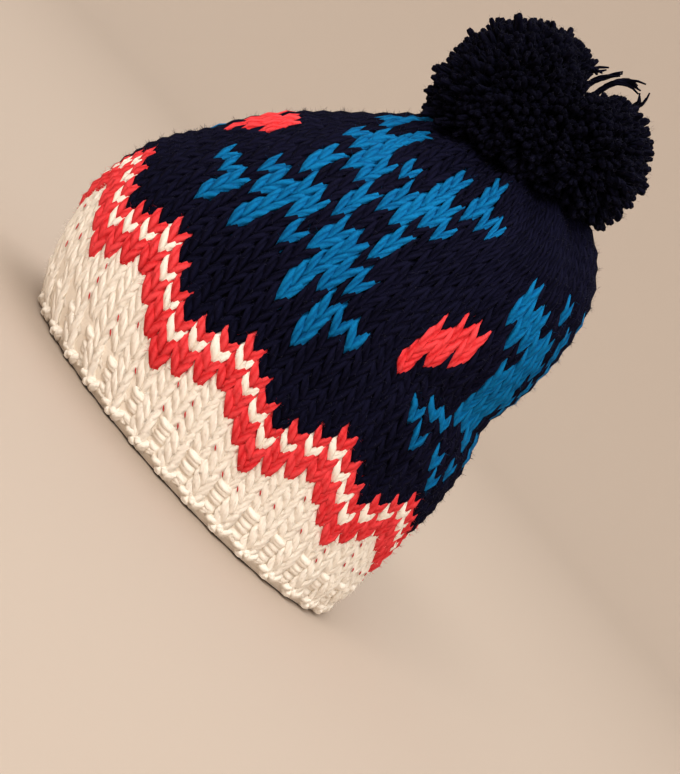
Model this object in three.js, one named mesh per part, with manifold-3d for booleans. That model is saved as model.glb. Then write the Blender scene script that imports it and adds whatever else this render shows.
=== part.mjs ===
// Chunky hand-knitted bobble hat: a ribbed cream brim, a red zigzag band, a navy crown drawn in at the top
// and a large cut-yarn pompom that sits on the gathers. Millimetres, +Z up, front at -X, back at +X.
// The hat stands on its brim. Its fabric is one curved wall, cut into three rings along the zigzags.

import * as THREE from 'three';
import { mergeVertices } from 'three/addons/utils/BufferGeometryUtils.js';
import Module from 'manifold-3d';

// Driving dimensions of the fabric
const STITCHES = 66;              // stitches round the hat, one column of facets each
const WALL = 8;                   // thickness of the super-chunky fabric
const GAP = 0.3;                  // clearance between neighbouring pieces
const EVEN_SPACING = 0.042;       // turns equal steps of angle into equal stitches on the oval
const SLOPE_STEP = 0.5;           // reach to either side when the slope of the fabric is taken

// Zigzag band: its lower and upper edges rise and fall together
const ZIGZAG_STITCHES = 6;        // stitches from one peak to the next, with a peak on the wearer's left
const STITCH_WIDTH = 10.1;        // at the band
const ZIGZAG_RISE = 18.6;         // height of a peak over a valley, three rows of knitting
const BRIM_DEPTH = 35;            // cream fabric under a valley
const BAND_DEPTH = 24.8;          // red fabric, four rows
const FRONT_RISE = 15;            // how much deeper the cream is over the forehead
const FRONT_FADE = 1.5;           // how fast that fades towards the sides

// Ribbed edge: one stitch out, one stitch in
const RIB_DEPTH = 1.1;            // how far a rib stands out, and a groove lies in
const RIB_TOP = 17;               // full relief up to here
const RIB_FADE = 8;               // and fades over this length

// Gathers where the crown is drawn in
const GATHERS = 11;
const GATHER_DEPTH = 2.2;
const GATHER_START = 190;
const GATHER_FULL = 232;
const CROWN_END = 262;            // the last ring before the drawn-up middle

// Rows of facets in each piece of fabric
const BRIM_STEPS = 5;
const BAND_STEPS = 3;
const CROWN_STEPS = 13;

// Sections of the hat, each a slightly tilted oval. "along" is the distance up the fabric from the rim.
const SECTIONS = [
  { along: 0, frontX: -102.5, frontZ: 0, backX: 101.5, backZ: 0, halfWidth: 84 },
  { along: 17, frontX: -113, frontZ: 13, backX: 104, backZ: 17, halfWidth: 88 },
  { along: 35, frontX: -121, frontZ: 29, backX: 103, backZ: 35, halfWidth: 92 },
  { along: 53, frontX: -125.5, frontZ: 47, backX: 100.5, backZ: 53, halfWidth: 95.5 },
  { along: 68, frontX: -127, frontZ: 62, backX: 100, backZ: 68, halfWidth: 97 },
  { along: 90, frontX: -124.5, frontZ: 83.5, backX: 96.5, backZ: 89, halfWidth: 97 },
  { along: 105, frontX: -120, frontZ: 98, backX: 92, backZ: 103.5, halfWidth: 95.5 },
  { along: 122, frontX: -111.5, frontZ: 112.5, backX: 85.5, backZ: 119, halfWidth: 92.5 },
  { along: 142, frontX: -102, frontZ: 130.5, backX: 86.5, backZ: 139, halfWidth: 87 },
  { along: 161, frontX: -92, frontZ: 146.5, backX: 85.5, backZ: 157.5, halfWidth: 80 },
  { along: 181, frontX: -79, frontZ: 161.5, backX: 82, backZ: 177, halfWidth: 71.5 },
  { along: 201, frontX: -65, frontZ: 176, backX: 74.5, backZ: 196, halfWidth: 61 },
  { along: 223, frontX: -49.5, frontZ: 191.5, backX: 60, backZ: 211, halfWidth: 46 },
  { along: 244, frontX: -32, frontZ: 203, backX: 42, backZ: 219.5, halfWidth: 28 },
  { along: 262, frontX: -14, frontZ: 210, backX: 23, backZ: 221, halfWidth: 13 },
];
const SECTION_COLUMNS = ['frontX', 'frontZ', 'backX', 'backZ', 'halfWidth'];

// Pompom: two lobes of cut yarn with a split between them, spread a little where it sits on the crown
const LOBES = [
  { x: -19, z: 233, core: 31, reach: 42, locks: 46, lockRadius: 9.4, stretchY: 1.2 },
  { x: 19, z: 240, core: 25, reach: 34.5, locks: 38, lockRadius: 8.4, stretchY: 1.35 },
];
const LOCK_ROOT = 0.6;            // share of the core's radius where a lock starts
const LOCK_SIDES = 6;
const LOCK_SHOULDER = 0.6;        // the blunt end starts this far down, as a share of the lock's radius
const LOCK_BROW = 0.15;           // and its flatter top this far down
const LOCK_UNEVENNESS = 0.05;     // how much the locks' lengths differ
const LOCK_VARIETY = 7;           // how fast the lengths change from lock to lock
const LOCK_SPREAD = 0.3;          // how much longer a lock is that points straight down
const LOWEST_LOCK = -0.6;         // locks that point further down would end inside the crown
const GOLDEN_ANGLE = Math.PI * (3 - Math.sqrt(5));
const CORE_DETAIL = 2;

// The split between the lobes, a wedge that opens upwards
const SPLIT = { x: 1.5, floorZ: 250, topZ: 286, topWidth: 20, length: 120 };

const wasm = await Module();
wasm.setup();

function smoothstep(from, to, value) {
  const t = Math.min(1, Math.max(0, (value - from) / (to - from)));
  return t * t * (3 - 2 * t);
}

// A section at any distance up the fabric, on a smooth curve through the table's rows.
function sectionAt(along) {
  const last = SECTIONS.length - 1;
  let i = 0;
  while (i < last - 1 && SECTIONS[i + 1].along < along) i += 1;
  const before = SECTIONS[Math.max(0, i - 1)];
  const from = SECTIONS[i];
  const to = SECTIONS[i + 1];
  const after = SECTIONS[Math.min(last, i + 2)];
  const span = to.along - from.along;
  const t = (along - from.along) / span;
  const section = {};
  for (const column of SECTION_COLUMNS) {
    const slopeFrom = (to[column] - before[column]) / (to.along - before.along);
    const slopeTo = (after[column] - from[column]) / (after.along - from.along);
    section[column] = THREE.MathUtils.lerp(from[column], to[column], t * t * (3 - 2 * t))
      + span * slopeFrom * t * (1 - t) ** 2 - span * slopeTo * t * t * (1 - t);
  }
  return section;
}

// The bearing of a stitch: stitch 0 is in the middle of the wearer's left side, and the count goes
// towards the back.
function turnOf(stitch) {
  const even = -Math.PI / 2 + 2 * Math.PI * stitch / STITCHES;
  return even + EVEN_SPACING * Math.sin(2 * even);
}

// A place on the outside of the fabric.
function placeOnFabric(stitch, along) {
  const turn = turnOf(stitch);
  const { frontX, frontZ, backX, backZ, halfWidth } = sectionAt(along);
  const sway = Math.cos(turn) / 2;
  return new THREE.Vector3(
    (frontX + backX) / 2 + sway * (backX - frontX),
    halfWidth * Math.sin(turn),
    (frontZ + backZ) / 2 + sway * (backZ - frontZ),
  );
}

// The outward direction there. It is level at the rim, so that the rim is flat underneath.
function outwardAt(stitch, along) {
  const low = Math.max(0, along - SLOPE_STEP);
  const round = placeOnFabric(stitch + SLOPE_STEP, along).sub(placeOnFabric(stitch - SLOPE_STEP, along));
  const up = placeOnFabric(stitch, along + SLOPE_STEP).sub(placeOnFabric(stitch, low));
  const outward = round.cross(up).normalize();
  outward.z *= smoothstep(0, RIB_TOP, along);
  return outward.normalize();
}

// Relief of the fabric: the ribs of the brim, and the gathers round the top.
function relief(stitch, along) {
  const side = stitch % 2 === 0 ? 1 : -1;
  const rib = side * RIB_DEPTH * (1 - smoothstep(RIB_TOP, RIB_TOP + RIB_FADE, along));
  const gather = Math.cos(2 * Math.PI * GATHERS * stitch / STITCHES) * GATHER_DEPTH
    * smoothstep(GATHER_START, GATHER_FULL, along) * (1 - smoothstep(GATHER_FULL, CROWN_END, along));
  return rib + gather;
}

function surfacePoint(stitch, along, offset) {
  const outward = outwardAt(stitch, along);
  return placeOnFabric(stitch, along).addScaledVector(outward, offset + relief(stitch, along));
}

// Height of the zigzag over its valleys at a stitch.
function zigzag(stitch) {
  const half = ZIGZAG_STITCHES / 2;
  return ZIGZAG_RISE * Math.abs((stitch % ZIGZAG_STITCHES) - half) / half;
}

// Extra depth of the brim, which is pulled down at the front.
function frontRise(stitch) {
  const towardsFront = -Math.cos(turnOf(stitch));
  return FRONT_RISE * Math.max(0, towardsFront) ** FRONT_FADE;
}

function geometryFrom(points, triangles) {
  const geometry = new THREE.BufferGeometry();
  geometry.setAttribute('position', new THREE.Float32BufferAttribute(points.flatMap((p) => p.toArray()), 3));
  geometry.setIndex(triangles);
  geometry.computeVertexNormals();
  return geometry;
}

// Rows of points round the fabric from one edge to another, moved outwards by an offset.
function fabricGrid(from, to, steps, offset) {
  const points = [];
  for (let row = 0; row <= steps; row += 1) {
    for (let stitch = 0; stitch < STITCHES; stitch += 1) {
      const along = THREE.MathUtils.lerp(from(stitch), to(stitch), row / steps);
      points.push(surfacePoint(stitch, along, offset));
    }
  }
  return points;
}

// Triangles between two neighbouring rows of points, seen from outside, split along either diagonal.
function strip(lower, upper, leansBack = false) {
  const triangles = [];
  for (let stitch = 0; stitch < STITCHES; stitch += 1) {
    const next = (stitch + 1) % STITCHES;
    const corners = [lower + stitch, lower + next, upper + next, upper + stitch];
    const order = leansBack ? [0, 1, 3, 1, 2, 3] : [0, 1, 2, 0, 2, 3];
    triangles.push(...order.map((corner) => corners[corner]));
  }
  return triangles;
}

// Triangles that close a row of points on one point above it.
function fan(row, tip) {
  const triangles = [];
  for (let stitch = 0; stitch < STITCHES; stitch += 1) {
    triangles.push(row + stitch, row + (stitch + 1) % STITCHES, tip);
  }
  return triangles;
}

function middleOf(points) {
  const sum = points.reduce((total, point) => total.add(point), new THREE.Vector3());
  return sum.divideScalar(points.length);
}

// A ring of fabric between two edges, or a cap where it is drawn together at the top. Its lower edge is
// split along the same diagonals as the upper edge of the ring below, so that the two stay parallel.
function fabricPiece(from, to, steps, drawnIn) {
  const outer = fabricGrid(from, to, steps, 0);
  const inner = fabricGrid(from, to, steps, -WALL);
  const points = [...outer, ...inner];
  const innerStart = outer.length;
  const topRow = steps * STITCHES;
  const triangles = strip(innerStart, 0, true);
  for (let row = 0; row < steps; row += 1) {
    const lower = row * STITCHES;
    const upper = lower + STITCHES;
    triangles.push(...strip(lower, upper), ...strip(innerStart + upper, innerStart + lower));
  }
  if (drawnIn) {
    const outerTip = points.push(middleOf(outer.slice(topRow))) - 1;
    const innerTip = points.push(middleOf(inner.slice(topRow))) - 1;
    triangles.push(...fan(topRow, outerTip), ...fan(innerStart + topRow, innerTip).reverse());
  } else {
    triangles.push(...strip(topRow, innerStart + topRow));
  }
  return geometryFrom(points, triangles);
}

// The crown as a filled block, larger than the crown by the gap all over, to shape the pompom's seat.
function crownBlock(from) {
  const points = fabricGrid(from, () => CROWN_END, CROWN_STEPS, GAP);
  const topRow = CROWN_STEPS * STITCHES;
  const triangles = [];
  for (let row = 0; row < CROWN_STEPS; row += 1) {
    triangles.push(...strip(row * STITCHES, (row + 1) * STITCHES));
  }
  const tip = points.push(middleOf(points.slice(topRow)).add(new THREE.Vector3(0, 0, GAP))) - 1;
  const floor = points.push(middleOf(points.slice(0, STITCHES))) - 1;
  triangles.push(...fan(topRow, tip), ...fan(0, floor).reverse());
  return geometryFrom(points, triangles);
}

function toManifold(geometry) {
  const bare = geometry.clone();
  bare.deleteAttribute('normal');
  bare.deleteAttribute('uv');
  const merged = mergeVertices(bare);
  return new wasm.Manifold(new wasm.Mesh({
    numProp: 3,
    vertProperties: new Float32Array(merged.getAttribute('position').array),
    triVerts: new Uint32Array(merged.getIndex().array),
  }));
}

function fromManifold(solid) {
  const mesh = solid.getMesh();
  const geometry = new THREE.BufferGeometry();
  geometry.setAttribute('position', new THREE.BufferAttribute(mesh.vertProperties, 3));
  geometry.setIndex(new THREE.BufferAttribute(mesh.triVerts, 1));
  geometry.computeVertexNormals();
  return geometry;
}

// One lock of cut yarn along +Y, widening to a blunt end.
function lockGeometry(root, reach, radius) {
  const profile = [
    new THREE.Vector2(0, root),
    new THREE.Vector2(radius / 2, root),
    new THREE.Vector2(radius, reach - LOCK_SHOULDER * radius),
    new THREE.Vector2(LOCK_SHOULDER * radius, reach - LOCK_BROW * radius),
    new THREE.Vector2(0, reach),
  ];
  return new THREE.LatheGeometry(profile, LOCK_SIDES);
}

// A lobe: a round core with locks spread evenly over it.
function lobeSolid({ x, z, core, reach, locks, lockRadius, stretchY }) {
  const place = (geometry) => toManifold(geometry.scale(1, stretchY, 1).translate(x, 0, z));
  let lobe = place(new THREE.IcosahedronGeometry(core, CORE_DETAIL));
  const lockAxis = new THREE.Vector3(0, 1, 0);
  for (let i = 0; i < locks; i += 1) {
    const height = 1 - 2 * (i + 0.5) / locks;
    if (height < LOWEST_LOCK) break;
    const spread = Math.sqrt(1 - height * height);
    const bearing = i * GOLDEN_ANGLE;
    const direction = new THREE.Vector3(spread * Math.cos(bearing), spread * Math.sin(bearing), height);
    const uneven = 1 + LOCK_UNEVENNESS * Math.sin(LOCK_VARIETY * bearing);
    const length = reach * uneven * (1 + LOCK_SPREAD * Math.max(0, -height));
    const lock = lockGeometry(core * LOCK_ROOT, length, lockRadius);
    lock.applyQuaternion(new THREE.Quaternion().setFromUnitVectors(lockAxis, direction));
    lobe = lobe.add(place(lock));
  }
  return lobe;
}

function splitWedge() {
  const { x, floorZ, topZ, topWidth, length } = SPLIT;
  const outline = new THREE.Shape([
    new THREE.Vector2(x, floorZ),
    new THREE.Vector2(x + topWidth / 2, topZ),
    new THREE.Vector2(x - topWidth / 2, topZ),
  ]);
  const wedge = new THREE.ExtrudeGeometry(outline, { depth: length, bevelEnabled: false });
  return wedge.rotateX(Math.PI / 2).translate(0, length / 2, 0);
}

function pompomPiece(seat) {
  const [front, back] = LOBES.map(lobeSolid);
  const cuts = [splitWedge(), seat].map(toManifold);
  return fromManifold(cuts.reduce((solid, cut) => solid.subtract(cut), front.add(back)));
}

function yarn(colour) {
  return new THREE.MeshStandardMaterial({ color: colour, roughness: 0.95, metalness: 0 });
}

const hat = new THREE.Group();

function addPiece(name, geometry, material) {
  const mesh = new THREE.Mesh(geometry, material);
  mesh.name = name;
  hat.add(mesh);
}

// The slanted seams need a little more along the fabric to keep the gap square to them.
const zigzagSlope = Math.atan2(ZIGZAG_RISE, STITCH_WIDTH * ZIGZAG_STITCHES / 2);
const halfSeam = GAP / Math.cos(zigzagSlope) / 2;
const seamLow = (stitch) => BRIM_DEPTH + zigzag(stitch) + frontRise(stitch);
const seamHigh = (stitch) => seamLow(stitch) + BAND_DEPTH;
const brimTop = (stitch) => seamLow(stitch) - halfSeam;
const bandBottom = (stitch) => seamLow(stitch) + halfSeam;
const bandTop = (stitch) => seamHigh(stitch) - halfSeam;
const crownBottom = (stitch) => seamHigh(stitch) + halfSeam;

addPiece('brim', fabricPiece(() => 0, brimTop, BRIM_STEPS, false), yarn(0xf0e4c8));
addPiece('zigzag_band', fabricPiece(bandBottom, bandTop, BAND_STEPS, false), yarn(0xf83436));
addPiece('crown', fabricPiece(crownBottom, () => CROWN_END, CROWN_STEPS, true), yarn(0x18162a));
addPiece('pompom', pompomPiece(crownBlock(crownBottom)), yarn(0x100f20));

// The origin is under the middle of the whole hat, on the surface that it stands on.
const box = new THREE.Box3().setFromObject(hat);
const middle = box.getCenter(new THREE.Vector3());
hat.position.set(-middle.x, -middle.y, -box.min.z);

export default hat;
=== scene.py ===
import math

import bpy
import numpy as np
from mathutils import Matrix, Vector


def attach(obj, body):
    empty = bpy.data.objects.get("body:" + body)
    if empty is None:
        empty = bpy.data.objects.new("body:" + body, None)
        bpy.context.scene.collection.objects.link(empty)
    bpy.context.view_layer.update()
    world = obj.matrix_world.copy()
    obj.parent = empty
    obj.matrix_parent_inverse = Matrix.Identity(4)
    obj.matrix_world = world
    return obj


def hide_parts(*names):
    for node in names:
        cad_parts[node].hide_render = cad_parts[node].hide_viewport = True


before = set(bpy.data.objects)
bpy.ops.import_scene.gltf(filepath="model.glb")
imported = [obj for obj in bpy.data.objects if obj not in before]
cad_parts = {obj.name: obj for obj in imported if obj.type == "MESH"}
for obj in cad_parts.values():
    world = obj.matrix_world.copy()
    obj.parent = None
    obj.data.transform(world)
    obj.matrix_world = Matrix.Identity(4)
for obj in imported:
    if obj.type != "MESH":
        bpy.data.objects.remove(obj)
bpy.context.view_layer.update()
print("frame loaded:", sorted(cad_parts))

# Lengths below are in millimetres, as in the part's source, and become metres when a mesh is made.
metresPerMm = 0.001
rng = np.random.default_rng(11)


# Meshes

def smoothStep(low, high, value):
    # 3t^2 - 2t^3, with t running from 0 at low to 1 at high
    t = np.clip((value - low) / (high - low), 0.0, 1.0)
    return t * t * (3.0 - 2.0 * t)


def unit(vectors):
    # each vector divided by its own length
    return vectors / np.maximum(np.linalg.norm(vectors, axis=-1, keepdims=True), 1e-9)


def makePiece(name, vertices, faces, faceSizes, uv=None, tone=None):
    # one mesh object from whole arrays: corners of all faces in a row, and the number of corners of each
    mesh = bpy.data.meshes.new(name)
    mesh.vertices.add(len(vertices))
    mesh.vertices.foreach_set("co", (vertices * metresPerMm).astype(np.float32).ravel())
    mesh.loops.add(len(faces))
    mesh.polygons.add(len(faceSizes))
    starts = np.concatenate([[0], np.cumsum(faceSizes)[:-1]])
    mesh.polygons.foreach_set("loop_start", starts.astype(np.int32))
    mesh.polygons.foreach_set("vertices", faces.astype(np.int32))
    mesh.update(calc_edges=True)
    mesh.polygons.foreach_set("use_smooth", np.ones(len(faceSizes), bool))
    if uv is not None:
        layer = mesh.uv_layers.new(name="strand")
        layer.data.foreach_set("uv", uv.astype(np.float32).ravel())
    if tone is not None:
        layer = mesh.attributes.new("tone", "FLOAT", "POINT")
        layer.data.foreach_set("value", tone.astype(np.float32).ravel())
    piece = bpy.data.objects.new(name, mesh)
    bpy.context.scene.collection.objects.link(piece)
    return piece


def makeStrands(name, path, across, deep, outward, sides, tone):
    # closed strands: an oval section with the half axes across and deep is carried along each path,
    # with its deep axis turned towards outward; path is strands x points x 3
    count, points = path.shape[:2]
    along = unit(np.gradient(path, axis=1))
    sideways = unit(np.cross(along, outward))
    up = np.cross(sideways, along)
    angle = np.arange(sides) * 2.0 * math.pi / sides
    ring = (np.cos(angle)[:, None] * sideways[:, :, None] * across[:, :, None, None]
            + np.sin(angle)[:, None] * up[:, :, None] * deep[:, :, None, None])
    vertices = (path[:, :, None] + ring).reshape(-1, 3)

    strand = np.arange(count)[:, None, None] * points * sides
    step = np.arange(points - 1)[None, :, None]
    corner = np.arange(sides)[None, None, :]
    after = (corner + 1) % sides
    quads = np.stack([strand + step * sides + corner, strand + (step + 1) * sides + corner,
                      strand + (step + 1) * sides + after, strand + step * sides + after], -1)
    firstEnds = strand[:, 0] + np.arange(sides)
    lastEnds = strand[:, 0] + (points - 1) * sides + np.arange(sides)[::-1]
    faces = np.concatenate([quads.ravel(), firstEnds.ravel(), lastEnds.ravel()])
    faceSizes = np.concatenate([np.full(count * (points - 1) * sides, 4), np.full(2 * count, sides)])

    # u runs once round the strand, v is the length along it in millimetres
    length = np.concatenate([np.zeros((count, 1)),
                             np.cumsum(np.linalg.norm(np.diff(path, axis=1), axis=-1), axis=1)], axis=1)
    shape = (count, points - 1, sides)
    u = np.broadcast_to(corner / sides, shape)
    lowV = np.broadcast_to(length[:, :-1, None], shape)
    highV = np.broadcast_to(length[:, 1:, None], shape)
    uvQuads = np.stack([np.stack([u, lowV], -1), np.stack([u, highV], -1),
                        np.stack([u + 1.0 / sides, highV], -1), np.stack([u + 1.0 / sides, lowV], -1)], 3)
    uvEnds = np.zeros((2 * count * sides, 2))
    uv = np.concatenate([uvQuads.reshape(-1, 2), uvEnds])
    return makePiece(name, vertices, faces, faceSizes, uv, np.repeat(tone, points * sides))


# The hat's surface, the same as the part's

hatShape = {
    "stitches": 66,
    "wall": 8.0,
    "evenSpacing": 0.042,     # turns equal steps of angle into equal stitches on the oval
    "toFrame": (10.944, 0.011, 0.0),   # from the sections' own origin to the frame's
    "frontRise": 15.0,        # the rows run higher over the forehead by this much
    "frontFade": 1.5,         # how fast that fades towards the sides
    "frontFull": 35.0,        # full from this far up the fabric
    "frontEase": 75.0, "frontEnd": 160.0,   # and gone between these two
    "ribDepth": 1.1, "ribTop": 17.0, "ribFade": 8.0,
    "gathers": 11, "gatherDepth": 2.2, "gatherStart": 190.0, "gatherFull": 232.0, "crownEnd": 262.0,
}

sections = {   # a slightly tilted oval at each distance along the fabric from the rim
    "along": [0, 17, 35, 53, 68, 90, 105, 122, 142, 161, 181, 201, 223, 244, 262],
    "frontX": [-102.5, -113, -121, -125.5, -127, -124.5, -120, -111.5,
               -102, -92, -79, -65, -49.5, -32, -14],
    "frontZ": [0, 13, 29, 47, 62, 83.5, 98, 112.5, 130.5, 146.5, 161.5, 176, 191.5, 203, 210],
    "backX": [101.5, 104, 103, 100.5, 100, 96.5, 92, 85.5, 86.5, 85.5, 82, 74.5, 60, 42, 23],
    "backZ": [0, 17, 35, 53, 68, 89, 103.5, 119, 139, 157.5, 177, 196, 211, 219.5, 221],
    "halfWidth": [84, 88, 92, 95.5, 97, 97, 95.5, 92.5, 87, 80, 71.5, 61, 46, 28, 13],
}
sections = {column: np.array(values, float) for column, values in sections.items()}


def sectionAt(along, column):
    # cubic through the table's rows, with each row's slope taken from its two neighbours
    rows = sections["along"]
    values = sections[column]
    i = np.clip(np.searchsorted(rows, along) - 1, 0, len(rows) - 2)
    before = np.maximum(i - 1, 0)
    after = np.minimum(i + 2, len(rows) - 1)
    span = rows[i + 1] - rows[i]
    t = (along - rows[i]) / span
    slopeFrom = (values[i + 1] - values[before]) / (rows[i + 1] - rows[before])
    slopeTo = (values[after] - values[i]) / (rows[after] - rows[i])
    blend = t * t * (3.0 - 2.0 * t)
    return (values[i] * (1.0 - blend) + values[i + 1] * blend
            + span * slopeFrom * t * (1.0 - t) ** 2 - span * slopeTo * t * t * (1.0 - t))


def turnOf(stitch):
    # bearing of a stitch: 0 is in the middle of the wearer's left side, and the count goes to the back
    even = -math.pi / 2 + 2 * math.pi * stitch / hatShape["stitches"]
    return even + hatShape["evenSpacing"] * np.sin(2 * even)


def placeOnFabric(stitch, along):
    # oval section: x and z sway between front and back with the cosine, y with the sine of the bearing
    turn = turnOf(stitch)
    sway = np.cos(turn) / 2
    frontX, backX = sectionAt(along, "frontX"), sectionAt(along, "backX")
    frontZ, backZ = sectionAt(along, "frontZ"), sectionAt(along, "backZ")
    return np.stack([(frontX + backX) / 2 + sway * (backX - frontX),
                     sectionAt(along, "halfWidth") * np.sin(turn),
                     (frontZ + backZ) / 2 + sway * (backZ - frontZ)], -1) + hatShape["toFrame"]


def outwardAt(stitch, along):
    # cross product of the two directions along the fabric, level at the rim
    reach = 0.5
    around = placeOnFabric(stitch + reach, along) - placeOnFabric(stitch - reach, along)
    upwards = placeOnFabric(stitch, along + reach) - placeOnFabric(stitch, np.maximum(along - reach, 0.0))
    outward = unit(np.cross(around, upwards))
    outward[..., 2] *= smoothStep(0.0, hatShape["ribTop"], along)
    return unit(outward)


def gatherAt(stitch, along):
    # folds round the top, deepest where the crown is drawn in
    wave = np.cos(2 * math.pi * hatShape["gathers"] * stitch / hatShape["stitches"])
    swell = smoothStep(hatShape["gatherStart"], hatShape["gatherFull"], along)
    return hatShape["gatherDepth"] * wave * swell * (
        1.0 - smoothStep(hatShape["gatherFull"], hatShape["crownEnd"], along))


def stitchWidthAt(stitch, along):
    # distance between the places half a stitch to either side
    return np.linalg.norm(placeOnFabric(stitch + 0.5, along) - placeOnFabric(stitch - 0.5, along), axis=-1)


# The knitted pattern

knit = {
    "rows": 33,
    "bandPitch": 6.25,        # height of a row in the brim and the band
    "bandRows": 12,           # rows knitted at that pitch
    "crownPitch": 9.2,        # height of a row further up, where the fabric is stretched
    "pitchLag": 4.0, "pitchEase": 1.5,   # how the one height goes over into the other
    "ribRows": 3,             # one stitch out, one in
    "firstRed": 5,            # first red row in a valley of the zigzag
    "redRows": 4, "lineRow": 2,   # the third of the four red rows is the cream line
    "zigzag": 6,              # stitches from peak to peak
    "flakes": [-3, 30, 46],   # middle columns of the snowflakes
    "flakeBase": 14, "backFlake": 15, "backFlakeBase": 13,
    "hearts": [23, 38, 54], "heartBase": 17, "sideHeart": 6, "sideHeartBase": 17,
}

drift = {   # how far the hand-knitted fabric is pulled out of true, at some columns and rows
    "columns": [-33, -24, -16, -11, -7, -5, -1, 2, 4, 7, 9, 12, 17, 25, 33],
    "rows": [0, 8, 16, 20, 24, 27, 32],
    "stitches": [   # sideways, towards the back
        [0, 0, -0.3, -0.5, -0.4, -0.2, 0, 0, 0, 0, 0, 0, 0, 0, 0],
        [0, -0.2, -0.5, -0.9, -0.7, -0.35, 0, 0.1, 0.1, 0, -0.1, -0.3, 0, 0, 0],
        [0, -0.5, -1.0, -1.4, -0.85, -0.5, -0.1, -0.1, 0, -0.2, 0.1, 0.2, 0.2, 0, 0],
        [-0.5, -1.0, -1.8, -2.2, -1.2, -0.75, -0.4, -0.4, -0.5, -0.5, -0.3, -0.2, -0.3, -0.3, -0.5],
        [-1.2, -2.0, -2.8, -3.4, -3.1, -2.1, -1.0, -0.8, -1.1, -1.5, -1.6, -1.7, -1.5, -1.3, -1.2],
        [-2.0, -3.0, -4.2, -5.2, -5.2, -4.3, -1.7, -0.9, -0.9, -1.6, -1.9, -2.4, -2.4, -2.0, -2.0],
        [-2.6, -3.4, -4.4, -5.4, -5.2, -4.3, -2.4, -1.8, -1.7, -2.2, -2.4, -2.8, -2.8, -2.6, -2.6],
    ],
    "rise": [   # upwards, in millimetres
        [0, 0, 0, 0, 0, 0, 0, 0, 0, 0, 0, 0, 0, 0, 0],
        [0, 2.0, 4.0, 4.5, 3.0, 2.0, 0.5, 0, 0, -0.5, -0.5, -0.5, 0, 0, 0],
        [0, 3.0, 6.0, 5.0, 1.2, -1.0, -4.0, -5.8, -3.0, 2.0, -0.4, -4.0, -3.0, -1.0, 0],
        [0, 4.0, 9.0, 8.5, 1.5, -0.7, -3.5, -5.0, -9.0, -15.0, -13.5, -7.0, -4.0, -1.0, 0],
        [0, 4.0, 8.0, 7.0, 4.5, 2.5, -3.0, -3.2, -6.5, -14.0, -6.0, -1.5, -2.0, -1.0, 0],
        [0, 4.0, 9.0, 10.0, 9.0, 6.0, -2.0, 0, -2.0, -6.0, -2.0, 0, -1.0, -1.0, 0],
        [0, 1.0, 2.0, 2.0, 2.0, 1.0, 0, 0, 0, 0, 0, 0, 0, 0, 0],
    ],
}
cream, red, line, navy, blue = range(5)

flakeChart = [
    "..X.......X..",
    "..X.X...X.X..",
    "XXX.X...X.XXX",
    "...XX.X.XX...",
    "..XXXX.XXXX..",
    "....XX.XX....",
    "...X..X..X...",
    "...X..X..X...",
    "....XX.XX....",
    "..XXXX.XXXX..",
    "...XX.X.XX...",
    "XXX.X...X.XXX",
    "..X.X...X.X..",
    "..X.......X..",
]
backFlakeChart = [
    ".X...X...X...X.",
    ".XXX...X...XXX.",
    "..XXXX.X.XXXX..",
    "....XXX.XXX....",
    "...XXX.X.XXX...",
    "...XXXX.XXXX...",
    "...XXX.X.XXX...",
    "...XXX...XXX...",
    ".XX..X.X.X..XX.",
    "X......X......X",
    ".X.X.X...X.X.X.",
    "....X.....X....",
]
heartChart = ["XX.XX", "XXXXX", ".XXX.", "..X.."]
sideHeartChart = ["...XX", "..XXX", "..XX.", "..X..", "..X.."]


def knitChart():
    # colour of every stitch: zigzag bands first, then the motifs laid over the navy
    stitches = hatShape["stitches"]
    column = np.arange(stitches)
    row = np.arange(knit["rows"])[:, None]
    half = knit["zigzag"] // 2
    first = knit["firstRed"] + np.abs(column % knit["zigzag"] - half)
    colours = np.where(row < first, cream, navy)
    colours = np.where((row >= first) & (row < first + knit["redRows"]), red, colours)
    colours = np.where(row == first + knit["lineRow"], line, colours)

    def layMotif(chart, middle, base, colour):
        marks = np.array([[mark == "X" for mark in text] for text in chart[::-1]])
        rows, columns = np.nonzero(marks)
        colours[base + rows, (middle - len(chart[0]) // 2 + columns) % stitches] = colour

    for middle in knit["flakes"]:
        layMotif(flakeChart, middle, knit["flakeBase"], blue)
    for middle in knit["hearts"]:
        layMotif(heartChart, middle, knit["heartBase"], red)
    layMotif(backFlakeChart, knit["backFlake"], knit["backFlakeBase"], blue)
    layMotif(sideHeartChart, knit["sideHeart"], knit["sideHeartBase"], red)
    return colours


def rowAlong(row):
    # distance of a row's tips from the rim: low rows in the band, then rows that soon grow taller
    steps = np.maximum(row - knit["bandRows"], 0.0)
    lag = knit["pitchLag"] * (1.0 - np.exp(-steps / knit["pitchEase"]))
    return knit["bandPitch"] * np.minimum(row, knit["bandRows"]) + knit["crownPitch"] * steps - lag


def driftAt(kind, column, row):
    # straight lines between the table's columns, then between its rows
    stitches = hatShape["stitches"]
    wrapped = (column + stitches / 2) % stitches - stitches / 2
    levels = np.identity(len(drift["rows"]))
    return sum(np.interp(wrapped, drift["columns"], pulls) * np.interp(row, drift["rows"], weight)
               for pulls, weight in zip(drift[kind], levels))


def frontRiseAt(stitch, along):
    # the rows climb towards the forehead, from nothing at the rim, and level out in the crown
    forward = np.maximum(-np.cos(turnOf(stitch)), 0.0) ** hatShape["frontFade"]
    share = np.clip(along / hatShape["frontFull"], 0.0, 1.0)
    share = share * (1.0 - smoothStep(hatShape["frontEase"], hatShape["frontEnd"], along))
    return hatShape["frontRise"] * forward * share


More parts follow.
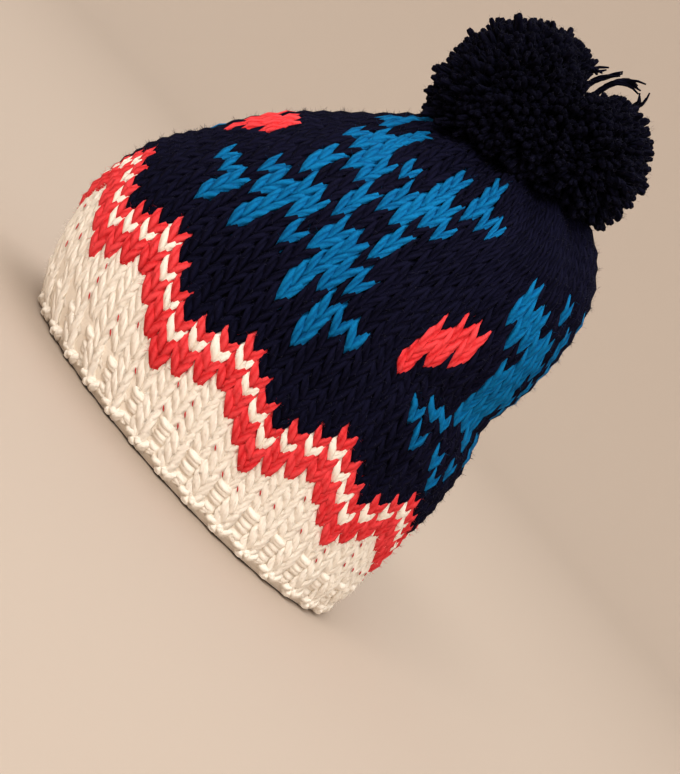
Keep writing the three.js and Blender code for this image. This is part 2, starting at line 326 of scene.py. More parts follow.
loop = {
    "points": 13, "sides": 5,
    "height": 1.22,           # half height of a loop in rows
    "foot": 0.87,             # height of a loop's middle over its tip, in half heights
    "swing": 0.28,            # how far the legs swing out, in stitch widths
    "skew": -0.16,            # lean of the whole loop, in stitch widths
    "depth": 1.9,             # legs in front of, heads behind the middle of the wall
    "across": 2.05, "deep": 2.1,
    "pinchTop": 0.2, "pinchSole": 0.12,   # how much slimmer the yarn is at the head and at the feet
    "slimmest": 0.3, "fullWidth": 9.0,    # yarn is slimmer where stitches are narrower than this
    "bandGirth": 1.1,         # the short stitches of the brim and the band are fuller
    "creamRelief": 0.54,      # the cream stitches lie flatter
    "redGirth": 1.06, "lineGirth": 0.95,   # and the cream line is slimmer than the red beside it
    "lowest": 3.2,            # along the fabric, so that no loop goes under the rim
    "jitter": 0.06,
}
chart = knitChart()
print("knitting", chart.size, "stitches")


def ribAt(column, along):
    # knit columns stand out and purl columns lie back by the same amount, up to the end of the rib
    side = np.where(column % 2 == 1, -1.0, 1.0)
    return hatShape["ribDepth"] * side * (1.0 - smoothStep(
        hatShape["ribTop"], hatShape["ribTop"] + hatShape["ribFade"], along))


def knitLoops(name, wanted):
    # each stitch is one closed loop: x = t/2pi + swing sin 2t, y = height cos t, depth = -cos 2t,
    # so that its two legs stand in front as a V and its head and feet lie behind
    row, column = np.nonzero(wanted)
    count = len(row)
    t = np.linspace(-math.pi, math.pi, loop["points"])[None, :]
    uneven = 1.0 + loop["jitter"] * rng.standard_normal((count, 3, 1))
    pitch = (rowAlong(row + 1.0) - rowAlong(row * 1.0))[:, None]
    half = loop["height"] * pitch * uneven[:, 0]
    y = half * np.cos(t)
    x = t / (2 * math.pi) + loop["swing"] * uneven[:, 1] * np.sin(2 * t) + loop["skew"] * np.cos(t)

    relief = np.where(chart[row, column] == cream, loop["creamRelief"], 1.0)[:, None]
    depth = -loop["depth"] * relief * np.cos(2 * t)
    climb = loop["foot"] * half + y
    along = rowAlong(row * 1.0)[:, None] + climb
    rowHere = row[:, None] + climb / pitch
    stitch = column[:, None] + x
    pulled = driftAt("stitches", stitch, rowHere)
    along = along + driftAt("rise", stitch, rowHere)
    stitch = stitch + pulled
    along = along + frontRiseAt(stitch, along)
    along = np.clip(along, loop["lowest"], hatShape["crownEnd"])
    rib = ribAt(column[:, None], along)
    outward = outwardAt(stitch, along)
    lift = depth + rib + gatherAt(stitch, along) - hatShape["wall"] / 2
    path = placeOnFabric(stitch, along) + outward * lift[..., None]

    stretch = 1.0 + (driftAt("stitches", column[:, None] + x + 0.5, rowHere)
                     - driftAt("stitches", column[:, None] + x - 0.5, rowHere))
    room = np.minimum(stretch * stitchWidthAt(stitch, along) / loop["fullWidth"], 1.0)
    crowding = loop["slimmest"] + (1.0 - loop["slimmest"]) * room
    pinch = np.where(np.cos(t) > 0, loop["pinchTop"], loop["pinchSole"])
    colour = chart[row, column][:, None]
    fuller = np.where(row[:, None] < knit["bandRows"], loop["bandGirth"], 1.0)
    fuller = fuller * np.where(colour == red, loop["redGirth"], 1.0)
    fuller = fuller * np.where(colour == line, loop["lineGirth"], 1.0)
    girth = fuller * (1.0 - pinch * np.cos(t) ** 2) * uneven[:, 2]
    across = loop["across"] * girth * crowding
    deep = loop["deep"] * girth * relief * np.ones_like(across)
    return makeStrands(name, path, across, deep, outward, loop["sides"], rng.random(count))


# Materials

def nodeTree(name):
    # a new material with its nodes, its links and its shader
    material = bpy.data.materials.new(name)
    material.use_nodes = True
    nodes = material.node_tree.nodes
    return material, nodes, material.node_tree.links, nodes["Principled BSDF"]


def mathNode(nodes, links, operation, first, second):
    # one sum; a number goes on the node's own socket, anything else is linked to it
    node = nodes.new("ShaderNodeMath")
    node.operation = operation
    for socket, value in zip(node.inputs, (first, second)):
        if isinstance(value, (int, float)):
            socket.default_value = value
        elif value is not None:
            links.new(value, socket)
    return node.outputs[0]


yarn = {
    "roughness": 0.92, "sheenRoughness": 0.45,
    "plies": 3, "plyLength": 10.0,      # plies round the strand, and millimetres to a turn
    "fibreScale": 900.0, "fibreDetail": 4.0, "fibreHeight": 0.8,
    "bumpDistance": 0.0007,
    # the ply share is painted shade, darker in the grooves between the plies; the tone and the fibres are
    # the wool's own uneven colour
    "paintedPlyShade": 0.45, "toneShade": 0.25, "fibreShade": 0.5,   # what each adds to the brightness
    "deepAt": 0.15, "brightAt": 0.85,
}


def wool(name, deepColour, brightColour, sheen, gloss, relief=0.8):
    # plied wool: slanting plies and fine fibres in the strand's own coordinates, and a tone for each
    # stitch; the colour is painted darker in the grooves between the plies, as painted shade
    material, nodes, links, shader = nodeTree(name)
    shader.inputs["Roughness"].default_value = yarn["roughness"]
    shader.inputs["Sheen Weight"].default_value = sheen
    shader.inputs["Sheen Roughness"].default_value = yarn["sheenRoughness"]
    shader.inputs["Sheen Tint"].default_value = (*brightColour, 1.0)
    shader.inputs["Specular IOR Level"].default_value = gloss

    def calc(operation, first, second=None):
        return mathNode(nodes, links, operation, first, second)

    # a ply is half a sine wave, and its phase runs round the strand and along it
    coords = nodes.new("ShaderNodeUVMap")
    coords.uv_map = "strand"
    split = nodes.new("ShaderNodeSeparateXYZ")
    links.new(coords.outputs["UV"], split.inputs[0])
    around = calc("MULTIPLY", split.outputs["X"], yarn["plies"])
    along = calc("DIVIDE", split.outputs["Y"], yarn["plyLength"])
    phase = calc("MULTIPLY", calc("ADD", around, along), 2 * math.pi)
    ply = calc("ABSOLUTE", calc("SINE", calc("DIVIDE", phase, 2.0)))

    place = nodes.new("ShaderNodeTexCoord")
    fibres = nodes.new("ShaderNodeTexNoise")
    fibres.inputs["Scale"].default_value = yarn["fibreScale"]
    fibres.inputs["Detail"].default_value = yarn["fibreDetail"]
    links.new(place.outputs["Object"], fibres.inputs["Vector"])
    bump = nodes.new("ShaderNodeBump")
    bump.inputs["Strength"].default_value = relief
    bump.inputs["Distance"].default_value = yarn["bumpDistance"]
    height = calc("ADD", ply, calc("MULTIPLY", fibres.outputs["Fac"], yarn["fibreHeight"]))
    links.new(height, bump.inputs["Height"])
    links.new(bump.outputs["Normal"], shader.inputs["Normal"])

    tone = nodes.new("ShaderNodeAttribute")
    tone.attribute_name = "tone"
    # painted shade: the colour darkens where the ply wave is low, in the grooves between the plies
    shade = calc("MULTIPLY", ply, yarn["paintedPlyShade"])
    shade = calc("ADD", shade, calc("MULTIPLY", tone.outputs["Fac"], yarn["toneShade"]))
    shade = calc("ADD", shade, calc("MULTIPLY", fibres.outputs["Fac"], yarn["fibreShade"]))
    ramp = nodes.new("ShaderNodeValToRGB")
    deepEnd, brightEnd = ramp.color_ramp.elements
    deepEnd.position = yarn["deepAt"]
    deepEnd.color = (*deepColour, 1.0)
    brightEnd.position = yarn["brightAt"]
    brightEnd.color = (*brightColour, 1.0)
    links.new(shade, ramp.inputs["Fac"])
    links.new(ramp.outputs["Color"], shader.inputs["Base Color"])
    return material


creamWool = wool("creamWool", (0.935, 0.855, 0.745), (0.955, 0.89, 0.795), 0.3, 0.02, relief=0.65)
redWool = wool("redWool", (0.57, 0.006, 0.009), (0.86, 0.064, 0.072), 0.06, 0.08)
navyWool = wool("navyWool", (0.0006, 0.0006, 0.0026), (0.005, 0.005, 0.017), 0.011, 0.035)
blueWool = wool("blueWool", (0.0004, 0.062, 0.195), (0.002, 0.15, 0.37), 0.04, 0.08)
greyFibre = wool("greyFibre", (0.012, 0.012, 0.025), (0.05, 0.05, 0.085), 0.05, 0.1)
pompomWool = wool("pompomWool", (0.0006, 0.0006, 0.002), (0.0042, 0.0042, 0.012), 0.008, 0.03)


def dress(piece, material, slot, *nodes):
    # a piece gets its wool, rides on the one body and stands in for its solid
    piece.data.materials.append(material)
    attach(piece, "root")
    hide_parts(*nodes)


# Knitted pieces

rowOf = np.arange(knit["rows"])[:, None] * np.ones_like(chart)
purl = (rowOf < knit["ribRows"]) & (np.arange(hatShape["stitches"]) % 2 == 1)
inBand = rowOf < knit["firstRed"] + knit["zigzag"] // 2 + knit["redRows"]
crownMiddle = 22   # the crown's knitting is made in two pieces that part at this row
dress(knitLoops("brimKnit", (chart == cream) & ~purl), creamWool, "cream_wool", "brim")
dress(knitLoops("bandKnit", (chart == red) & inBand), redWool, "red_wool", "zigzag_band")
dress(knitLoops("bandLine", chart == line), creamWool, "cream_wool", "zigzag_band")
dress(knitLoops("crownKnitLower", (chart == navy) & (rowOf < crownMiddle)), navyWool, "navy_wool", "crown")
dress(knitLoops("crownKnitUpper", (chart == navy) & (rowOf >= crownMiddle)), navyWool, "navy_wool", "crown")
dress(knitLoops("snowflakes", chart == blue), blueWool, "blue_wool", "crown")
dress(knitLoops("hearts", (chart == red) & ~inBand), redWool, "red_wool", "crown")
print("knitted pieces made")


# Purl columns of the rib

purlBump = {
    "points": 7, "sides": 5,
    "span": 1.3,              # width in stitches, so that the ends go in behind the knit columns
    "depth": 2.2, "dip": 4.5,     # middle in front of the wall's middle, ends behind it
    "lowerBar": 0.95, "upperBar": 1.45,   # heights of the two bars in rows
    "bow": 0.7, "across": 2.3, "deep": 1.7, "jitter": 0.5,
}


def purlBumps():
    # each purl stitch shows as two bars, one bowed up and one bowed down, on parabolas
    row, column = np.nonzero(purl)
    share = np.linspace(-1.0, 1.0, purlBump["points"])[None, :]
    lower = np.repeat([True, False], len(row))[:, None]
    row, column = np.tile(row, 2)[:, None], np.tile(column, 2)[:, None]
    stitch = column + purlBump["span"] / 2 * share
    bow = purlBump["bow"] * (1.0 - share ** 2)
    bar = np.where(lower, purlBump["lowerBar"], purlBump["upperBar"])
    along = knit["bandPitch"] * (row + bar) + np.where(lower, bow, -bow)
    along = along + purlBump["jitter"] * rng.standard_normal((len(along), 1))
    lift = purlBump["depth"] - purlBump["dip"] * share ** 2 + ribAt(column, along) - hatShape["wall"] / 2
    outward = outwardAt(stitch, along)
    path = placeOnFabric(stitch, along) + outward * lift[..., None]
    across = np.full(path.shape[:2], purlBump["across"])
    deep = np.full(path.shape[:2], purlBump["deep"])
    return makeStrands("purlBumps", path, across, deep, outward, purlBump["sides"], rng.random(len(path)))


dress(purlBumps(), creamWool, "cream_wool", "brim")


# Cast-on edge: two strands twisted round the rim, lower under the knit columns

castOn = {
    "along": 5.2, "scallop": 1.4,       # height of the edge over the rim, and how far it waves with the rib
    "lift": 1.5, "reach": 2.0,          # half height and half depth of the twist
    "thickness": 2.1, "pointsPerStitch": 8, "sides": 6,
}


def castOnEdge():
    # two helices round the rim, one turn a stitch, half a turn apart; each is cut into short closed lengths
    stitches = hatShape["stitches"]
    start = np.arange(stitches * 2)
    share = np.linspace(0.0, 1.0, castOn["pointsPerStitch"] + 1)[None, :]
    stitch = (start % stitches)[:, None] + share
    phase = 2 * math.pi * share + math.pi * (start // stitches)[:, None]
    wave = np.cos(math.pi * stitch)
    along = castOn["along"] - castOn["scallop"] * wave + castOn["lift"] * np.sin(phase)
    lift = hatShape["ribDepth"] * wave - hatShape["wall"] / 2 + castOn["reach"] * np.cos(phase)
    outward = outwardAt(stitch, along)
    path = placeOnFabric(stitch, along) + outward * lift[..., None]
    path[..., 2] = np.maximum(path[..., 2], castOn["thickness"])   # the lowest turns rest on the floor
    thickness = np.full(path.shape[:2], castOn["thickness"])
    return makeStrands("castOnEdge", path, thickness, thickness, outward, castOn["sides"],
                       rng.random(len(path)))


dress(castOnEdge(), creamWool, "cream_wool", "brim")


# Carried strands behind the stitches, one thin lining for each colour zone

def closedRing(name, low, high, steps, outside, inside):
    # a ring of fabric between two edges, out on the outer offset and back on the inner one
    stitch = np.arange(hatShape["stitches"] * 2) / 2.0
    share = np.concatenate([np.linspace(0, 1, steps + 1), np.linspace(1, 0, steps + 1)])[:, None]
    offset = np.concatenate([np.full(steps + 1, outside), np.full(steps + 1, inside)])[:, None]
    along = low(stitch) + (high(stitch) - low(stitch)) * share
    stitches = np.broadcast_to(stitch, along.shape)
    lift = offset + gatherAt(stitches, along)
    vertices = placeOnFabric(stitches, along) + outwardAt(stitches, along) * lift[..., None]
    rows, columns = along.shape
    row = np.arange(rows)[:, None]
    column = np.arange(columns)[None, :]
    nextRow = (row + 1) % rows
    nextColumn = (column + 1) % columns
    quads = np.stack([row * columns + column, row * columns + nextColumn,
                      nextRow * columns + nextColumn, nextRow * columns + column], -1)
    uv = np.zeros((quads.size, 2))
    return makePiece(name, vertices.reshape(-1, 3), quads.ravel(), np.full(quads.size // 4, 4), uv,
                     np.zeros(rows * columns))


lining = {
    "outside": -3.6, "creamOutside": -3.0, "inside": -4.6,   # faces of the lining, from the hat's outside
    "redFrom": 35.0, "redDepth": 24.8, "rise": 18.6,         # the zigzag band
    "rimGap": 0.8, "topGap": 1.0,       # it stops short of the rim and of the drawn-up middle
    "brimSteps": 5, "bandSteps": 4, "crownSteps": 24,
}


def zigzagAt(stitch):
    # height of the zigzag over its valleys, on straight lines from peak to valley
    half = knit["zigzag"] / 2
    return lining["rise"] * np.abs(stitch % knit["zigzag"] - half) / half


def redEdge(stitch):
    # lower edge of the red band: its height in a valley, the zigzag and the climb in front
    along = lining["redFrom"] + zigzagAt(stitch)
    return along + frontRiseAt(stitch, along)


def navyEdge(stitch):
    # upper edge of the red band, the same line higher up
    return redEdge(stitch) + lining["redDepth"]


def rimEdge(stitch):
    # level, just over the rim
    return np.full_like(stitch, lining["rimGap"])


def topEdge(stitch):
    # level, just under the drawn-up middle
    return np.full_like(stitch, hatShape["crownEnd"] - lining["topGap"])


span = (lining["outside"], lining["inside"])
creamSpan = (lining["creamOutside"], lining["inside"])
brimLining = closedRing("brimLining", rimEdge, redEdge, lining["brimSteps"], *creamSpan)
bandLining = closedRing("bandLining", redEdge, navyEdge, lining["bandSteps"], *span)
crownLining = closedRing("crownLining", navyEdge, topEdge, lining["crownSteps"], *span)
dress(brimLining, creamWool, "cream_wool", "brim")
dress(bandLining, redWool, "red_wool", "zigzag_band")
dress(crownLining, navyWool, "navy_wool", "crown")
print("linings made")


# Red floats that show in the gaps between the cream wales

floatDash = {
    "firstRow": 3, "rows": 4,
    "share": 0.3,             # of the gaps that show one
    "length": 2.3, "lean": -0.14, "lift": -1.6,
    "thickness": 0.4, "taper": 3.0, "points": 4, "sides": 5,
}


def floatDashes():
    # short straight strands, half a stitch beside the middle of a cream stitch; the thickness falls off
    # with the square of the distance from the middle
    stitches = hatShape["stitches"]
    rows = floatDash["firstRow"] + np.arange(floatDash["rows"])
    row = np.repeat(rows, stitches)
    column = np.tile(np.arange(stitches), floatDash["rows"])
    both = (chart[row, column] == cream) & (chart[row, (column + 1) % stitches] == cream)
    kept = both & (rng.random(len(row)) < floatDash["share"])
    row, column = row[kept][:, None], column[kept][:, None]
    share = np.linspace(-0.5, 0.5, floatDash["points"])[None, :]
    stitch = column + 0.5 + floatDash["lean"] * share
    along = rowAlong(row + 1.0) + floatDash["length"] * share
    along = along + driftAt("rise", stitch, row + 1.0)
    stitch = stitch + driftAt("stitches", stitch, row + 1.0)
    along = along + frontRiseAt(stitch, along)
    outward = outwardAt(stitch, along)
    path = placeOnFabric(stitch, along) + outward * floatDash["lift"]
    taper = 1.0 - floatDash["taper"] * share ** 2
    thickness = floatDash["thickness"] * np.ones(path.shape[:2]) * taper
    return makeStrands("redFloats", path, thickness, thickness, outward, floatDash["sides"],
                       rng.random(len(path)))


dress(floatDashes(), redWool, "red_wool", "brim")


# Pompom

pompom = {
    "lobes": [   # middle x and z, radius, stretch across, number of cut ends
        {"x": -18.0, "z": 233.0, "reach": 37.8, "stretch": 1.2, "ends": 3700, "splitFrom": 0.55},
        {"x": 18.0, "z": 238.0, "reach": 30.3, "stretch": 1.35, "ends": 2600, "splitFrom": 0.0},
    ],
    "shares": [0.55, 0.75, 0.9, 0.98, 1.0], "profile": [0.8, 1.0, 1.1, 1.0, 0.65], "sides": 5,
    "thickness": 1.5, "thinnest": 0.75, "thickest": 1.2,
    "unevenness": 0.018, "stray": 0.14, "bend": 11.0,
    "spread": 0.24,           # how much longer the strands are that point down
    "clearance": 2.0,         # between a strand's end and the crown
    "crownFrom": 120.0, "crownRows": 48,   # places on the crown that this is taken from
    "lean": -0.12, "keepBetween": 0.6, "betweenFrom": 0.12,   # strands between the lobes
    "uprightFrom": 0.3, "uprightFull": 0.9,   # those that point up lean, from little to fully
    "splitSide": 0.5, "splitDepth": 0.32,
    "core": 0.84, "coreFullness": 0.7, "coreSplit": 0.12, "coreSteps": 40, "coreSides": 64,
}
goldenAngle = math.pi * (3.0 - math.sqrt(5.0))


def crownHeightAt(points):
    # height of the crown under each point, that of the nearest of many places on its surface
    rows = np.linspace(pompom["crownFrom"], hatShape["crownEnd"], pompom["crownRows"])
    stitch, along = np.meshgrid(np.arange(hatShape["stitches"]), rows)
    surface = placeOnFabric(stitch.ravel() * 1.0, along.ravel())
    apart = ((points[:, None, :2] - surface[None, :, :2]) ** 2).sum(-1)
    return surface[np.argmin(apart, axis=1), 2]


def splitAt(lobe, facing, upright):
    # the notch along the top: strands are shorter the nearer they are to the middle between the lobes
    near = np.clip((facing - lobe["splitFrom"]) / (1.0 - lobe["splitFrom"]), 0.0, 1.0)
    return 1.0 - pompom["splitDepth"] * near * smoothStep(pompom["splitSide"], 1.0, upright)


def pompomLobe(name, lobe, other):
    # cut strands spread over a ball by the golden angle; those that face the other lobe start part of the
    # way towards it and stand nearly square to that line, so that the two lobes run together
    count = lobe["ends"]
    index = np.arange(count)
    height = 1.0 - 2.0 * (index + 0.5) / count
    bearing = index * goldenAngle
    flat = np.sqrt(1.0 - height ** 2)
    direction = np.stack([flat * np.cos(bearing), flat * np.sin(bearing), height], -1)
    direction = unit(direction + pompom["stray"] * rng.standard_normal(direction.shape))
    middle = np.array([lobe["x"], 0.0, lobe["z"]])
    apart = np.array([other["x"], 0.0, other["z"]]) - middle
    axis = unit(apart)
    facing = np.maximum(direction @ axis, 0.0)
    keep = (facing < pompom["betweenFrom"]) | (rng.random(count) < pompom["keepBetween"])
    direction, facing = direction[keep], facing[keep]
    square = unit(direction - (direction @ axis)[:, None] * axis)
    upright = smoothStep(pompom["uprightFrom"], pompom["uprightFull"], square[:, 2])
    leaning = unit(square + pompom["lean"] * (facing * upright)[:, None] * axis)
    direction = np.where(facing[:, None] > 0.0, leaning, direction)

    reach = lobe["reach"] + (other["reach"] - lobe["reach"]) * facing / 2
    stretch = lobe["stretch"] + (other["stretch"] - lobe["stretch"]) * facing / 2
    reach = reach * (1.0 + pompom["unevenness"] * rng.standard_normal(len(direction)))
    reach = reach * (1.0 + pompom["spread"] * np.maximum(-direction[:, 2], 0.0))
    reach = reach * splitAt(lobe, facing, square[:, 2])
    share = np.array(pompom["shares"])[None, :, None]
    bend = pompom["bend"] * rng.standard_normal(direction.shape)[:, None]
    bend = bend * (share - pompom["shares"][0]) ** 2
    path = direction[:, None] * reach[:, None, None] * share + bend
    sideways = np.stack([np.ones_like(stretch), stretch, np.ones_like(stretch)], -1)[:, None]
    path = path * sideways + middle + apart * (facing / 2)[:, None, None] + hatShape["toFrame"]
    path = path[path[:, -1, 2] > crownHeightAt(path[:, -1]) + pompom["clearance"]]
    girth = rng.uniform(pompom["thinnest"], pompom["thickest"], (len(path), 1))
    thickness = pompom["thickness"] * girth * np.array(pompom["profile"])
    outward = np.broadcast_to(unit(rng.standard_normal((len(path), 1, 3))), path.shape)
    return makeStrands(name, path, thickness, thickness, outward, pompom["sides"], rng.random(len(path)))


def pompomCore():
    # a closed surface under the cut ends: rings round the line between the lobes, with the radius of the
    # two balls and the straight stretch between them, and a shallow split along the top
    front, back = pompom["lobes"]
    start = np.array([front["x"], 0.0, front["z"]])
    apart = np.array([back["x"], 0.0, back["z"]]) - start
    length = np.linalg.norm(apart)
    axis = apart / length
    upAxis = np.cross(axis, [0.0, 1.0, 0.0])
    upAxis = upAxis * np.sign(upAxis[2])
    radii = [pompom["core"] * lobe["reach"] for lobe in (front, back)]
    polar = np.linspace(0.0, math.pi, pompom["coreSteps"])[1:-1, None]
    share = (1.0 - np.cos(polar)) / 2
    radius = radii[0] + (radii[1] - radii[0]) * share
    stretch = front["stretch"] + (back["stretch"] - front["stretch"]) * share
    along = share * length - np.cos(polar) * radius
    ring = radius * np.sin(polar) ** pompom["coreFullness"]
    angle = np.arange(pompom["coreSides"])[None, :] * 2 * math.pi / pompom["coreSides"]
    facing = 1.0 - np.abs(2.0 * share - 1.0)
    upright = np.sin(angle) + pompom["coreSplit"]
    ring = ring * np.where(share < 0.5, splitAt(front, facing, upright), splitAt(back, facing, upright))
    points = (start + axis * along[..., None] + upAxis * (ring * np.sin(angle))[..., None]
              + np.array([0.0, 1.0, 0.0]) * (ring * stretch * np.cos(angle))[..., None])
    ends = [start - axis * radii[0], start + apart + axis * radii[1]]
    vertices = np.concatenate([points.reshape(-1, 3), ends]) + hatShape["toFrame"]
    rows, columns = points.shape[:2]
    row = np.arange(rows - 1)[:, None] * columns
    column = np.arange(columns)[None, :]
    after = (column + 1) % columns
    quads = np.stack([row + column, row + after, row + columns + after, row + columns + column], -1)
    last = (rows - 1) * columns
    firstFan = np.stack([after[0], column[0], np.full(columns, rows * columns)], -1)
    lastFan = np.stack([last + column[0], last + after[0], np.full(columns, rows * columns + 1)], -1)
    faces = np.concatenate([quads.ravel(), firstFan.ravel(), lastFan.ravel()])
    sizes = np.concatenate([np.full(quads.size // 4, 4), np.full(2 * columns, 3)])
    uv = np.zeros((len(faces), 2))
    return makePiece("pompomCore", vertices, faces, sizes, uv, np.zeros(len(vertices)))


first, second = pompom["lobes"]
dress(pompomLobe("pompomFrontLobe", first, second), pompomWool, "pompom_wool", "pompom")
dress(pompomLobe("pompomBackLobe", second, first), pompomWool, "pompom_wool", "pompom")
dress(pompomCore(), pompomWool, "pompom_wool", "pompom")

ties = {   # loose ends of the tie, which come out of the split; x, y and z of a few points each
    "paths": [
        [(-9.0, -6.0, 254.0), (-10.5, -7.0, 264.0), (-9.0, -7.0, 268.0), (-5.4, -7.0, 271.5)],
        [(-3.0, -3.0, 250.0), (-5.0, -4.0, 260.0), (-4.0, -4.0, 267.0), (0.3, -5.0, 274.7)],
        [(2.0, 0.0, 248.0), (0.5, -1.0, 260.0), (2.8, -2.0, 272.6), (12.2, -3.0, 279.0)],
        [(5.0, 3.0, 250.0), (7.0, 2.0, 262.0), (15.6, 0.0, 269.6), (16.8, -2.0, 279.5)],
    ],
    "points": 14, "sides": 5, "knots": 4,
    "plies": 5, "thickness": 0.85,
    "girth": 0.8,             # how far each ply lies from the middle of its end
    "turns": 1.5,             # twist of the plies
    "fray": 1.6, "frayPower": 6,      # how far they part at the tip, and how late that starts
    "taper": 0.5, "taperPower": 8,    # the same for how much thinner they get
}


def tieEnds():
    # a cubic through each set of four points, with a few plies twisted round it that part at the tip
    order = range(ties["knots"])
    knots = np.linspace(0.0, 1.0, ties["knots"])
    t = np.linspace(0.0, 1.0, ties["points"])
    weights = np.stack([np.prod([(t - knots[j]) / (knots[i] - knots[j]) for j in order if j != i], axis=0)
                        for i in order])
    middle = np.einsum("ip,sic->spc", weights, np.array(ties["paths"])) + hatShape["toFrame"]
    path = np.repeat(middle, ties["plies"], axis=0)
    ply = np.tile(np.arange(ties["plies"]), len(middle))[:, None]
    phase = 2 * math.pi * (ply / ties["plies"] + ties["turns"] * t)
    sideways = np.array([0.0, 1.0, 0.0])
    upwards = unit(np.cross(np.gradient(path, axis=1), sideways))
    twist = np.cos(phase)[..., None] * sideways + np.sin(phase)[..., None] * upwards
    path = path + ties["girth"] * twist
    parting = (t ** ties["frayPower"])[:, None]
    path = path + ties["fray"] * rng.standard_normal((len(path), 1, 3)) * parting
    taper = 1.0 - ties["taper"] * t ** ties["taperPower"]
    thickness = ties["thickness"] * np.ones(path.shape[:2]) * taper
    outward = np.broadcast_to(np.array([0.0, -1.0, 0.0]), path.shape)
    return makeStrands("pompomTieEnds", path, thickness, thickness, outward, ties["sides"],
                       rng.random(len(path)))


dress(tieEnds(), pompomWool, "pompom_wool", "pompom")
print("pompom made")


# Wool fuzz: fine fibres that stand out of the yarn

fuzzOf = [   # fibres on each piece
    ("brimFuzz", "brimKnit", 11000, creamWool, "cream_wool", "brim"),
    ("bandFuzz", "bandKnit", 6000, redWool, "red_wool", "zigzag_band"),
    ("crownFuzzLower", "crownKnitLower", 14000, greyFibre, "navy_wool", "crown"),
    ("crownFuzzUpper", "crownKnitUpper", 13000, greyFibre, "navy_wool", "crown"),
    ("snowflakeFuzz", "snowflakes", 6000, blueWool, "blue_wool", "crown"),
    ("pompomFuzz", "pompomFrontLobe", 7000, greyFibre, "pompom_wool", "pompom"),
    ("pompomBackFuzz", "pompomBackLobe", 6000, greyFibre, "pompom_wool", "pompom"),
]
fuzz = {
    "points": 2, "sides": 3,
    "length": 2.8, "shortest": 0.3,     # longest fibre, and the shortest as a share of it
    "thickness": 0.06, "tip": 0.5,      # and how thick the tip is beside the root
    "stray": 0.7,             # how far a fibre turns from the yarn's normal
    "lowest": 0.2,
    "middle": (0.0, 0.0, 110.0), "facing": 0.35,   # fibres start where the yarn faces away from the middle
}


def fuzzOn(name, piece, count):
    # each fibre is a short straight line from a random point of the yarn, near the direction of its normal
    mesh = piece.data
    places = np.zeros(len(mesh.vertices) * 3, np.float32)
    mesh.vertices.foreach_get("co", places)
    normals = np.zeros(len(mesh.vertices) * 3, np.float32)
    mesh.vertex_normals.foreach_get("vector", normals)
    places = places.reshape(-1, 3) / metresPerMm
    normals = normals.reshape(-1, 3)
    outside = np.nonzero(np.sum(normals * unit(places - fuzz["middle"]), axis=1) > fuzz["facing"])[0]
    chosen = rng.choice(outside, count)
    root = places[chosen]
    normal = normals[chosen]
    length = fuzz["length"] * rng.uniform(fuzz["shortest"], 1.0, (count, 1, 1))
    share = np.linspace(0.0, 1.0, fuzz["points"])[None, :, None]
    heading = unit(normal + fuzz["stray"] * rng.standard_normal(normal.shape))[:, None]
    path = root[:, None] + heading * length * share
    path = path[path[..., 2].min(axis=1) > fuzz["lowest"]]
    thickness = fuzz["thickness"] * np.ones(path.shape[:2]) * np.linspace(1.0, fuzz["tip"], fuzz["points"])
    outward = np.broadcast_to(unit(rng.standard_normal((len(path), 1, 3))), path.shape)
    return makeStrands(name, path, thickness, thickness, outward, fuzz["sides"], rng.random(len(path)))


for name, source, count, material, slot, node in fuzzOf:
    dress(fuzzOn(name, bpy.data.objects[source], count), material, slot, node)
print("fuzz made")


# Stage: pale floor that curves up all round, soft lights, camera

stage = {
    "radius": 2600.0, "flat": 1500.0, "height": 1800.0, "steps": 24, "sides": 96,
    "colour": (0.395, 0.322, 0.264), "roughness": 0.9,
}


def bowlFloor():
    # a profile that is flat, then a quarter of an oval, turned round the Z axis; the middle is one face
    share = np.linspace(0.0, 1.0, stage["steps"])
    bend = stage["radius"] - stage["flat"]
    radius = np.concatenate([[stage["flat"] / 2], stage["flat"] + bend * np.sin(share * math.pi / 2)])
    height = np.concatenate([[0.0], stage["height"] * (1.0 - np.cos(share * math.pi / 2))])
    angle = np.arange(stage["sides"]) * 2 * math.pi / stage["sides"]
    vertices = np.stack([radius[:, None] * np.cos(angle), radius[:, None] * np.sin(angle),
                         height[:, None] * np.ones_like(angle)], -1)
    rows = len(radius)
    row = np.arange(rows - 1)[:, None] * stage["sides"]
    column = np.arange(stage["sides"])[None, :]
    after = (column + 1) % stage["sides"]
    quads = np.stack([row + column, row + stage["sides"] + column, row + stage["sides"] + after,
                      row + after], -1)
    faces = np.concatenate([quads.ravel(), np.arange(stage["sides"])])
    sizes = np.concatenate([np.full(quads.size // 4, 4), [stage["sides"]]])
    return makePiece("floor", vertices.reshape(-1, 3), faces, sizes)


def paleFloor():
    # one pale matt colour
    material, nodes, links, shader = nodeTree("paleFloor")
    shader.inputs["Base Color"].default_value = (*stage["colour"], 1.0)
    shader.inputs["Roughness"].default_value = stage["roughness"]
    return material


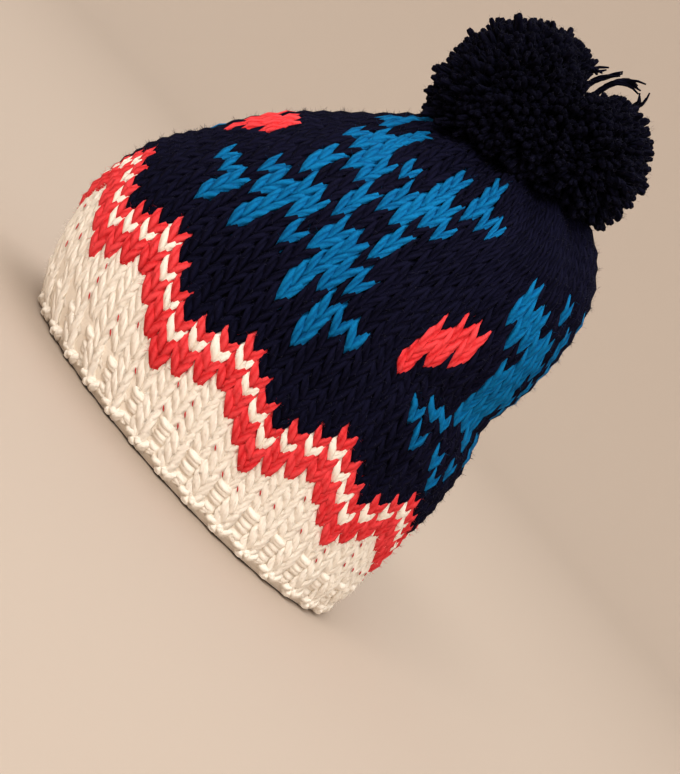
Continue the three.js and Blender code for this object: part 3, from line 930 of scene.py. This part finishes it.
floor = bowlFloor()
floor.data.materials.append(paleFloor())

studio = {
    "lights": [   # name, place and power
        ("keyLight", (-900.0, -2300.0, 1900.0), 88.0),
        ("fillLight", (1500.0, -2100.0, 500.0), 122.0),
        ("topLight", (200.0, 300.0, 2600.0), 30.0),
    ],
    "width": 1600.0, "aim": (0.0, 0.0, 120.0),
    "colour": (1.0, 0.97, 0.93), "worldStrength": 1.2,
}
aim = Vector(studio["aim"]) * metresPerMm
for name, place, power in studio["lights"]:
    data = bpy.data.lights.new(name, "AREA")
    data.size = studio["width"] * metresPerMm
    data.energy = power
    data.color = studio["colour"]
    lamp = bpy.data.objects.new(name, data)
    lamp.location = Vector(place) * metresPerMm
    lamp.rotation_euler = (aim - lamp.location).to_track_quat("-Z", "Y").to_euler()
    bpy.context.scene.collection.objects.link(lamp)

world = bpy.data.worlds.new("studio")
bpy.context.scene.world = world
world.use_nodes = True
background = world.node_tree.nodes["Background"]
background.inputs["Color"].default_value = (*studio["colour"], 1.0)
background.inputs["Strength"].default_value = studio["worldStrength"]

view = {
    "place": (15.3, -927.7, 173.8), "aim": (35.7, 0.0, 79.1),
    "roll": 48.66,            # degrees, turned so that the hat leans to the right in the picture
    "lens": 90.0, "sensor": 36.0,
}
cameraData = bpy.data.cameras.new("camera")
cameraData.lens = view["lens"]
cameraData.sensor_width = view["sensor"]
camera = bpy.data.objects.new("camera", cameraData)
place = Vector(view["place"]) * metresPerMm
forward = (Vector(view["aim"]) * metresPerMm - place).normalized()
right = forward.cross(Vector((0.0, 0.0, 1.0))).normalized()
up = right.cross(forward)
turn = math.radians(view["roll"])
rolledRight = right * math.cos(turn) + up * math.sin(turn)
rolledUp = up * math.cos(turn) - right * math.sin(turn)
axes = Matrix((rolledRight, rolledUp, -forward)).transposed().to_4x4()
camera.matrix_world = Matrix.Translation(place) @ axes
bpy.context.scene.collection.objects.link(camera)
bpy.context.scene.camera = camera
bpy.context.scene.view_settings.view_transform = "Standard"
print("stage, lights and camera set")
